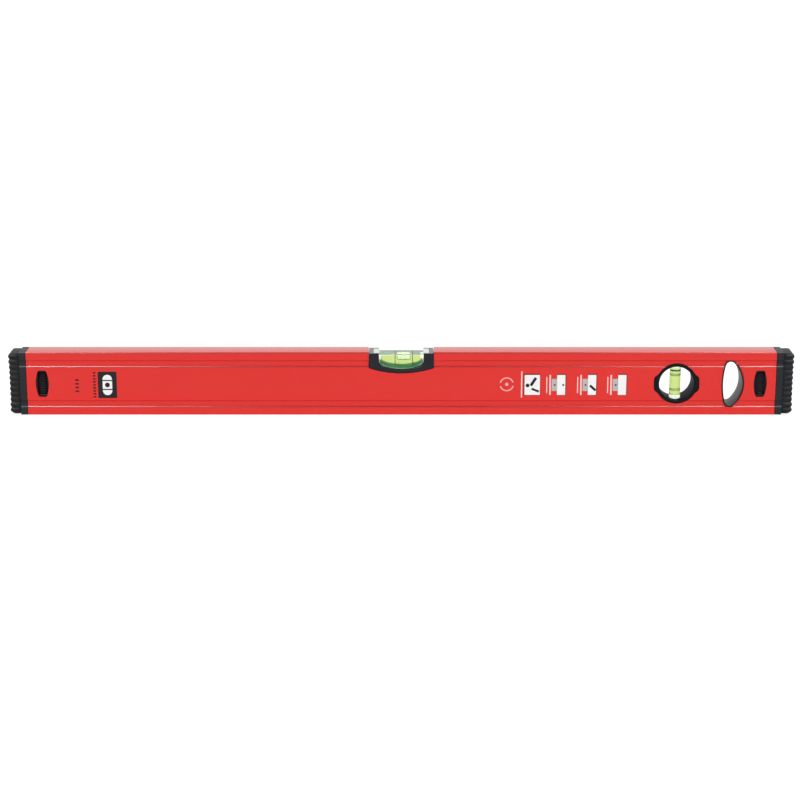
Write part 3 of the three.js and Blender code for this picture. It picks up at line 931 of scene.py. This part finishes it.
def rounded_rectangle(u0, u1, v0, v1, radius, steps=5):
    left, right, low, high = u0 + radius, u1 - radius, v0 + radius, v1 - radius
    quarter = math.pi / 2
    outline = []
    for turns, centre in enumerate([(right, low), (right, high), (left, high), (left, low)], -1):
        outline += arc(centre, radius, turns * quarter, (turns + 1) * quarter, steps)
    return outline


flange_start = beam_right + seat_gap
end_plug = bar_along_x("end_plug_right", beam_section(0), flange_start, flange_end)
tongue = bar_along_x(
    "joined", beam_section(wall + slide_gap), tongue_end, flange_start + overlap
)
stub_half = beam_half - stub_wall
stub = bar_along_x(
    "joined",
    rounded_rectangle(
        -stub_half, stub_half, beam_foot + stub_wall, beam_head - stub_wall, stub_corner
    ),
    flange_end - overlap,
    stub_end,
)
combine(end_plug, [tongue, stub], "UNION")
pad_half = latch_half + slide_gap
pad_rise = latch_rise + slide_gap
room_outer = abs(latch_low[1]) - latch_depth + shoulder_depth + slide_gap
pockets = []
for way in (-1, 1):
    for reach, rise in ((beam_half, pad_rise), (room_outer, pad_rise + shoulder_reach)):
        depths = sorted((way * web_half, way * reach))
        pockets.append(
            block(
                "cutter",
                (latch_x - pad_half, depths[0], beam_middle - rise),
                (latch_x + pad_half, depths[1], beam_middle + rise),
            )
        )
combine(end_plug, pockets)
soften(end_plug, 0.25 * MM)

cap_black = moulded(
    "cap_black_moulding",
    ((0.007, 0.009, 0.013, 1), (0.012, 0.015, 0.020, 1)),
    gloss=0.22,
    cast_scale=60.0,
    roughness=0.46,
    spread=0.16,
    relief=0.02 * MM,
    strength=0.45,
)
show(mirrored(end_plug, "end_plug_left"), cap_black, "left_cap", "cap_plastic", "left_end_plug")
show(end_plug, cap_black, "right_cap", "cap_plastic", "right_end_plug")

# ---------------------------------------------------------------------------------------
# Bumpers. Soft black rubber blocks moulded round the plugs' stubs, with ribs that wrap
# front, end and back; the two outermost ribs at the top and the bottom stand proud.
(bumper_start, _, bumper_foot), (bumper_end, _, bumper_head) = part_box("right_end_bumper")
rib_count = 11
rib_depth = 1.0 * MM
rib_margin = 2.6 * MM
head_radius = 1.0 * MM
foot_radius = 2.4 * MM
plan_radius = 1.2 * MM
rib_pitch = (bumper_head - bumper_foot - 2 * rib_margin) / (rib_count - 1)
rib_fade = 1.2 * MM
row_share = 0.72
level_count = 160
end_level = 0.02 * MM


def bumper_ring(z, inset):
    """The bumper's plan outline at one height, its end drawn in where the corners round."""
    back = 0.0
    for from_edge, radius in ((z - bumper_foot, foot_radius), (bumper_head - z, head_radius)):
        drop = max(0.0, radius - from_edge)
        back += radius - math.sqrt(max(radius**2 - drop**2, 0))
    side = beam_half - inset
    tip = bumper_end - inset - back
    radius = plan_radius
    lower = arc((tip - radius, radius - side), radius, -math.pi / 2, 0, 8)
    upper = arc((tip - radius, side - radius), radius, 0, math.pi / 2, 8)
    face = [(tip, y) for y in np.linspace(radius - side, side - radius, 10)[1:-1]]
    reach = tip - radius - bumper_start
    near = [(bumper_start + reach * i / 3, -side) for i in range(3)]
    far = [(bumper_start + reach * i / 3, side) for i in (2, 1, 0)]
    return [(x, y, z) for x, y in near + lower + face + upper + far]


edge_turns = [math.pi / 2 * i / 8 for i in range(8)]
foot_levels = [end_level + foot_radius * (1 - math.cos(t)) for t in edge_turns]
head_levels = [end_level + head_radius * (1 - math.cos(t)) for t in edge_turns]
bumper_height = bumper_head - bumper_foot
levels = foot_levels[:-1]
levels += list(np.linspace(foot_levels[-1], bumper_height - head_levels[-1], level_count))
levels += [bumper_height - level for level in reversed(head_levels[:-1])]
rings = [bumper_ring(bumper_foot + level, rib_depth) for level in levels]
per_ring = len(rings[0])
bumper_points = [point for ring in rings for point in ring]
bumper_faces = [
    (k * per_ring + i, k * per_ring + (i + 1) % per_ring)
    + ((k + 1) * per_ring + (i + 1) % per_ring, (k + 1) * per_ring + i)
    for k in range(len(rings) - 1)
    for i in range(per_ring)
]
last = (len(rings) - 1) * per_ring
bumper_faces += [tuple(range(per_ring)), tuple(range(last, last + per_ring))]
bumper = piece_from("bumper_right", bumper_points, bumper_faces)

ribbing = Shaper(
    "bumper_ribs", First=1.0, Pitch=1.0, Last=1.0, Band=1.0, Depth=1.0, Start=1.0, Sharpness=1.0
)
spot = ribbing.node("GeometryNodeInputPosition")
height = ribbing.part(spot, "Z")
along = ribbing.part(spot, "X")
turns = (height - ribbing.size("First")) / ribbing.size("Pitch")
wave = ribbing.node("ShaderNodeMath", {"operation": "COSINE"}, {0: turns * (2 * math.pi)})
crest = (0.5 + 0.5 * wave) ** ribbing.size("Sharpness")
near_foot = height < ribbing.size("First") + ribbing.size("Band")
near_head = height > ribbing.size("Last") - ribbing.size("Band")
outermost = near_foot.worked("MAXIMUM", near_foot, near_head)
row_start = ribbing.size("Start")
in_rows = ribbing.share(along, row_start, row_start + rib_fade)
proud = ribbing.size("Depth") * crest * (row_share + (1 - row_share) * outermost) * in_rows
outwards = ribbing.node("GeometryNodeInputNormal")
level_way = ribbing.node(
    "ShaderNodeVectorMath", {"operation": "MULTIPLY"}, {0: outwards, 1: (1, 1, 0)}
)
push = ribbing.node("ShaderNodeVectorMath", {"operation": "SCALE"}, {0: level_way, "Scale": proud})
ribbing.close(
    ribbing.node(
        "GeometryNodeSetPosition", None, {"Geometry": ribbing.size("Geometry"), "Offset": push}
    )
)

rubber = Finish("black_rubber", IOR=1.5, Specular_IOR_Level=0.15)
cast = rubber.grain(80.0, detail=3.0)
rubber.feed(
    Base_Color=rubber.blend(cast, (0.007, 0.008, 0.010, 1), (0.013, 0.014, 0.017, 1)),
    Roughness=0.52 + 0.16 * cast,
)
rubber.bumps(rubber.grain(2200.0, detail=2.0), 0.02 * MM, 0.6)
ribbing.work(
    bumper,
    rubber,
    First=bumper_foot + rib_margin,
    Last=bumper_head - rib_margin,
    Pitch=rib_pitch,
    Band=1.5 * rib_pitch,
    Depth=rib_depth,
    Start=bumper_start + 0.3 * MM,
    Sharpness=0.45,
)
pocket_half = stub_half + seat_gap
pocket = bar_along_x(
    "cutter",
    rounded_rectangle(
        -pocket_half,
        pocket_half,
        beam_foot + stub_wall - seat_gap,
        beam_head - stub_wall + seat_gap,
        stub_corner,
    ),
    bumper_start - overlap,
    stub_end + seat_gap,
)
combine(bumper, [pocket])
smooth_shaded(bumper, 50)
left_bumper = mirrored(bumper, "bumper_left")
show(left_bumper, rubber, "left_cap", "bumper_rubber", "left_end_bumper")
show(bumper, rubber, "right_cap", "bumper_rubber", "right_end_bumper")

# ---------------------------------------------------------------------------------------
# Latches. A ribbed black push pad on each side of each cap, sprung outwards into a window
# of the beam; pressed in, it lets the cap slide off. Shoulders hold it in its pocket.
rib_height = 0.4 * MM
pad_face = latch_low[1] + rib_height
latch = plate_through_y(
    "latch",
    rounded_rectangle(
        latch_low[0], latch_high[0], beam_middle - latch_rise, beam_middle + latch_rise, 1.2 * MM
    ),
    pad_face,
    latch_high[1],
)
shoulders = block(
    "joined",
    (latch_low[0], latch_high[1] - shoulder_depth, latch_low[2]),
    (latch_high[0], latch_high[1], latch_high[2]),
)
combine(latch, [shoulders], "UNION")
soften(latch, 0.3 * MM)

grip = Shaper("latch_ribs", Ribs=8, First=origin, Step=origin, Size=(1.0, 1.0, 1.0))
line_up = {"Start Location": grip.size("First"), "Offset": grip.size("Step")}
row = grip.node(
    "GeometryNodeMeshLine", {"mode": "OFFSET"}, {"Count": grip.size("Ribs"), **line_up}
)
bar = grip.node("GeometryNodeMeshUVSphere", None, {"Segments": 16, "Rings": 10, "Radius": 0.5})
ribs = grip.node(
    "GeometryNodeInstanceOnPoints",
    None,
    {"Points": row, "Instance": bar, "Scale": grip.size("Size")},
)
both = grip.tree.nodes.new("GeometryNodeJoinGeometry")
grip.plug(both.inputs[0], ribs)
grip.plug(both.inputs[0], grip.size("Geometry"))
grip.close(Signal(grip, both.outputs[0]))
latch_black = moulded(
    "latch_black_moulding",
    ((0.004, 0.002, 0.004, 1), (0.009, 0.005, 0.008, 1)),
    gloss=0.12,
    cast_scale=90.0,
    roughness=0.40,
    spread=0.16,
    relief=0.02 * MM,
    strength=0.4,
)
latch_ribs = 9
latch_pitch = 2 * latch_rise / latch_ribs
grip.work(
    latch,
    latch_black,
    Ribs=latch_ribs,
    First=(latch_x, pad_face, beam_middle - latch_rise + latch_pitch / 2),
    Step=(0, 0, latch_pitch),
    Size=(2 * latch_half - 1.0 * MM, 2 * rib_height, 1.1 * MM),
)
smooth_shaded(latch)
latch_places = [
    (end, side, (along_sign, across_sign, 1))
    for end, along_sign in (("left", -1), ("right", 1))
    for side, across_sign in (("front", 1), ("rear", -1))
]
for end, side, signs in latch_places:
    copy = mirrored(latch, f"latch_{end}_{side}", signs)
    show(copy, latch_black, f"{end}_{side}_button", "latch_plastic", f"{end}_{side}_latch")
bpy.data.objects.remove(latch)

# ---------------------------------------------------------------------------------------
# Latch springs. Small coils of spring steel wire between the tongue's middle web and the
# back of each latch.
spring_low, spring_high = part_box("right_front_latch_spring")
wire = 0.6 * MM
coil_radius = (spring_high[0] - spring_low[0] - wire) / 2
coil = Shaper(
    "coil_spring", Turns=3.0, Radius=1.0, Length=1.0, Wire=1.0, Centre=origin, Turn=origin
)
spiral = coil.node(
    "GeometryNodeCurveSpiral",
    None,
    {
        "Resolution": 28,
        "Rotations": coil.size("Turns"),
        "Start Radius": coil.size("Radius"),
        "End Radius": coil.size("Radius"),
        "Height": coil.size("Length"),
    },
)
section = coil.node(
    "GeometryNodeCurvePrimitiveCircle", None, {"Resolution": 12, "Radius": coil.size("Wire")}
)
wound = coil.node(
    "GeometryNodeCurveToMesh", None, {"Curve": spiral, "Profile Curve": section, "Fill Caps": True}
)
coil.close(coil.placed(wound))

steel = Finish("bright_spring_wire", Metallic=1.0)
drawn_lines = steel.grain(900.0, stretch=(1, 0.2, 1))
steel.feed(
    Base_Color=steel.blend(drawn_lines, (0.46, 0.46, 0.47, 1), (0.62, 0.62, 0.63, 1)),
    Roughness=0.22 + 0.15 * drawn_lines,
)
spring = piece_from("spring", [(latch_x, 0, beam_middle)], [])
coil.work(
    spring,
    steel,
    Radius=coil_radius,
    Length=spring_high[1] - spring_low[1] - wire,
    Wire=wire / 2,
    Centre=(latch_x, spring_high[1] - wire / 2, beam_middle),
    Turn=(math.pi / 2, 0, 0),
)
smooth_shaded(spring, 60)
for end, side, signs in latch_places:
    copy = mirrored(spring, f"spring_{end}_{side}", signs)
    show(copy, steel, f"{end}_cap", "spring_steel", f"{end}_{side}_latch_spring")
    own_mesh(copy)
bpy.data.objects.remove(spring)

# ---------------------------------------------------------------------------------------
# Prints. Plain marks pad-printed on the front face of the finished beam: a vial symbol on
# a dark ground, a ring, and four small picture panels with bars beside them.
print_depth = 0.04 * MM


def stamped(name, outlines, finish, layer=1):
    """Thin printed patches on the front face; a higher layer lies over a lower one."""
    patches = [
        plate_through_y(
            "joined", outline, beam_front - layer * print_depth, beam_front + print_depth
        )
        for outline in outlines
    ]
    piece = piece_from(name, [], [])
    mesh = bmesh.new()
    for patch in patches:
        mesh.from_mesh(patch.data)
        bpy.data.objects.remove(patch)
    mesh.to_mesh(piece.data)
    mesh.free()
    show(piece, finish, "level_body", "ring_ink")


def ink_of(name, colour, other):
    made = Finish(name, IOR=1.45, Specular_IOR_Level=0.2)
    drift = made.grain(260.0, detail=3.0)
    made.feed(Base_Color=made.blend(drift, colour, other), Roughness=0.35 + 0.15 * drift)
    return made


def slab(x, z, width, height, radius=0.25 * MM):
    """A rounded patch centred on (x, z)."""
    half, rise = width / 2, height / 2
    return rounded_rectangle(x - half, x + half, z - rise, z + rise, radius, 3)


def turned_slab(x, z, length, width, degrees):
    turn = math.radians(degrees)
    corners = slab(0, 0, length, width, 0.2 * MM)
    return [
        (x + u * math.cos(turn) - v * math.sin(turn), z + u * math.sin(turn) + v * math.cos(turn))
        for u, v in corners
    ]


def disc(x, z, radius):
    return arc((x, z), radius, 0, 2 * math.pi, 32)[:-1]


def band_arc(x, z, radius, width, start, end):
    outer = arc((x, z), radius + width / 2, start, end, 24)
    return outer + arc((x, z), radius - width / 2, end, start, 24)


white_ink = ink_of("white_print", (0.90, 0.91, 0.90, 1), (0.97, 0.97, 0.97, 1))
black_ink = ink_of("black_print", (0.010, 0.009, 0.012, 1), (0.018, 0.016, 0.020, 1))
grey_ink = ink_of("grey_print", (0.46, 0.44, 0.44, 1), (0.58, 0.56, 0.56, 1))
pale_ink = ink_of("pale_print", (0.86, 0.42, 0.40, 1), (0.90, 0.50, 0.48, 1))

mark_x, mark_z = -228.4 * MM, 24.1 * MM
stamped("mark_ground", [slab(mark_x, mark_z, 14.6 * MM, 21.2 * MM, 0.8 * MM)], black_ink)
stamped("mark_vial", [slab(mark_x, mark_z, 7.4 * MM, 16.4 * MM, 3.6 * MM)], white_ink, 2)
stamped(
    "mark_lines",
    [slab(mark_x, mark_z + way * 3.6 * MM, 7.5 * MM, 0.9 * MM, 0.1 * MM) for way in (-1, 1)]
    + [disc(mark_x, mark_z, 1.9 * MM)],
    black_ink,
    3,
)
# Two rows of plain ticks stand where a maker would print words and the length.
tick_corner = 0.2 * MM


def tick_row(x, foot, pitch, count, width, height):
    return [slab(x, foot + i * pitch, width, height, tick_corner) for i in range(count)]


stamped(
    "mark_ticks",
    tick_row(-238.4 * MM, 14.6 * MM, 2.4 * MM, 9, 2.1 * MM, 1.2 * MM)
    + tick_row(-252.0 * MM, 19.0 * MM, 3.0 * MM, 4, 2.8 * MM, 1.3 * MM),
    ink_of("dark_red_print", (0.06, 0.004, 0.008, 1), (0.10, 0.006, 0.012, 1)),
)

ring_x, ring_z = 82.0 * MM, 24.6 * MM
stamped(
    "ring_print",
    [band_arc(ring_x, ring_z, 5.1 * MM, 0.9 * MM, start, start + 2.6) for start in (0.3, 3.44)]
    + [disc(ring_x, ring_z, 1.3 * MM)],
    pale_ink,
)

row_foot, row_head = 16.1 * MM, 32.1 * MM
row_middle = (row_foot + row_head) / 2
row_height = row_head - row_foot
frame_out = 0.3 * MM
first_panel = 101.8 * MM
panel_places = [124.3 * MM, 148.3 * MM, 171.7 * MM]
stamped(
    "panel_frames",
    [slab(first_panel - frame_out, row_middle + frame_out, 13.0 * MM, row_height + 1.4 * MM)]
    + [
        slab(x + frame_out, row_middle + frame_out, 7.3 * MM, row_height + 1.2 * MM)
        for x in panel_places
    ],
    ink_of("deep_red_print", (0.20, 0.010, 0.016, 1), (0.28, 0.014, 0.020, 1)),
)
stamped(
    "panel_grounds",
    [slab(first_panel, row_middle, 11.9 * MM, row_height)]
    + [slab(x, row_middle, 6.4 * MM, row_height) for x in panel_places],
    white_ink,
    2,
)
stamped(
    "panel_blocks",
    [slab(x - 5.2 * MM, row_middle, 4.2 * MM, 9.6 * MM) for x in panel_places],
    grey_ink,
)
stamped(
    "panel_bars",
    [slab(93.6 * MM, row_middle + 0.4 * MM, 1.0 * MM, 21.0 * MM)]
    + [slab(x - 8.6 * MM, row_middle, 1.2 * MM, row_height) for x in panel_places]
    + [slab(x - 11.2 * MM, row_middle, 0.8 * MM, 13.0 * MM) for x in panel_places],
    ink_of("pink_print", (0.90, 0.62, 0.60, 1), (0.94, 0.70, 0.68, 1)),
)
stamped(
    "panel_pictures",
    [
        turned_slab(first_panel + 0.9 * MM, row_middle + 2.6 * MM, 7.4 * MM, 2.2 * MM, 58),
        turned_slab(first_panel + 2.4 * MM, row_middle - 4.2 * MM, 6.2 * MM, 1.7 * MM, -22),
        disc(first_panel - 3.6 * MM, row_middle - 0.4 * MM, 1.5 * MM),
        disc(panel_places[0] - 5.0 * MM, row_middle, 0.7 * MM),
        disc(panel_places[0] + 1.6 * MM, row_middle, 0.8 * MM),
        disc(panel_places[1] - 5.0 * MM, row_middle, 0.7 * MM),
        turned_slab(panel_places[1] + 0.6 * MM, row_middle - 2.4 * MM, 6.0 * MM, 1.9 * MM, -42),
        disc(panel_places[2] - 5.0 * MM, row_middle, 0.7 * MM),
    ],
    black_ink,
    3,
)

# ---------------------------------------------------------------------------------------
# Studio. A plain white floor, a white surround, two soft boxes hung over the two ends of
# the level, and a long lens a little above it.
floor_reach = 9
floor_corners = [(-1, -1), (1, -1), (1, 1), (-1, 1)]
sweep = piece_from(
    "floor", [(floor_reach * x, floor_reach * y, 0) for x, y in floor_corners], [(0, 1, 2, 3)]
)
sweep_finish = Finish(
    "white_sweep",
    Base_Color=(0.35, 0.35, 0.35, 1),
    Roughness=0.9,
    Emission_Color=(1, 1, 1, 1),
    Emission_Strength=0.77,
)
sweep.data.materials.append(sweep_finish.material)

# The surround is brightest low down behind the level and dim overhead.
world = bpy.data.worlds.new("white_surround")
world.use_nodes = True
bpy.context.scene.world = world
sky = Graph(world.node_tree)
way = sky.node("ShaderNodeTexCoord", output="Generated")
from_back = sky.share(sky.part(way, "Y"), -0.3, 0.8)
low_down = 1 - sky.share(sky.part(way, "Z"), 0.35, 0.85)
strength = 0.42 + 0.5 * low_down + 0.5 * from_back
sky.plug(world.node_tree.nodes["Background"].inputs["Strength"], strength)
world.node_tree.nodes["Background"].inputs["Color"].default_value = (1, 1, 1, 1)


box_width = 0.46
box_length = 0.7
box_power = 38
box_height = 0.88
box_forward = 0.25
box_out = 0.66
box_aim = 0.45


def soft_box(name, place, target):
    lamp = bpy.data.lights.new(name, "AREA")
    lamp.shape = "RECTANGLE"
    lamp.size = box_width
    lamp.size_y = box_length
    lamp.energy = box_power
    holder = bpy.data.objects.new(name, lamp)
    bpy.context.scene.collection.objects.link(holder)
    holder.visible_diffuse = False
    holder.location = place
    holder.rotation_euler = (Vector(target) - Vector(place)).to_track_quat("-Z", "Y").to_euler()


for word, side in (("left", -1), ("right", 1)):
    soft_box(
        f"box_over_{word}", (side * box_out, -box_forward, box_height), (side * box_aim, 0, 0)
    )

camera = bpy.data.objects.new("camera", bpy.data.cameras.new("camera"))
bpy.context.scene.collection.objects.link(camera)
lens_mm = 91.84
lens_distance = 1.6
lens_elevation = math.radians(15)
aim = Vector((-0.97 * MM, 0, 9.3 * MM))
reach = Vector((0, -math.cos(lens_elevation), math.sin(lens_elevation)))
camera.location = aim + lens_distance * reach
camera.rotation_euler = (math.pi / 2 - lens_elevation, 0, 0)
camera.data.lens = lens_mm
camera.data.sensor_width = 36
camera.data.clip_start = 0.05
camera.data.clip_end = 50
bpy.context.scene.camera = camera
bpy.context.scene.view_settings.view_transform = "Standard"
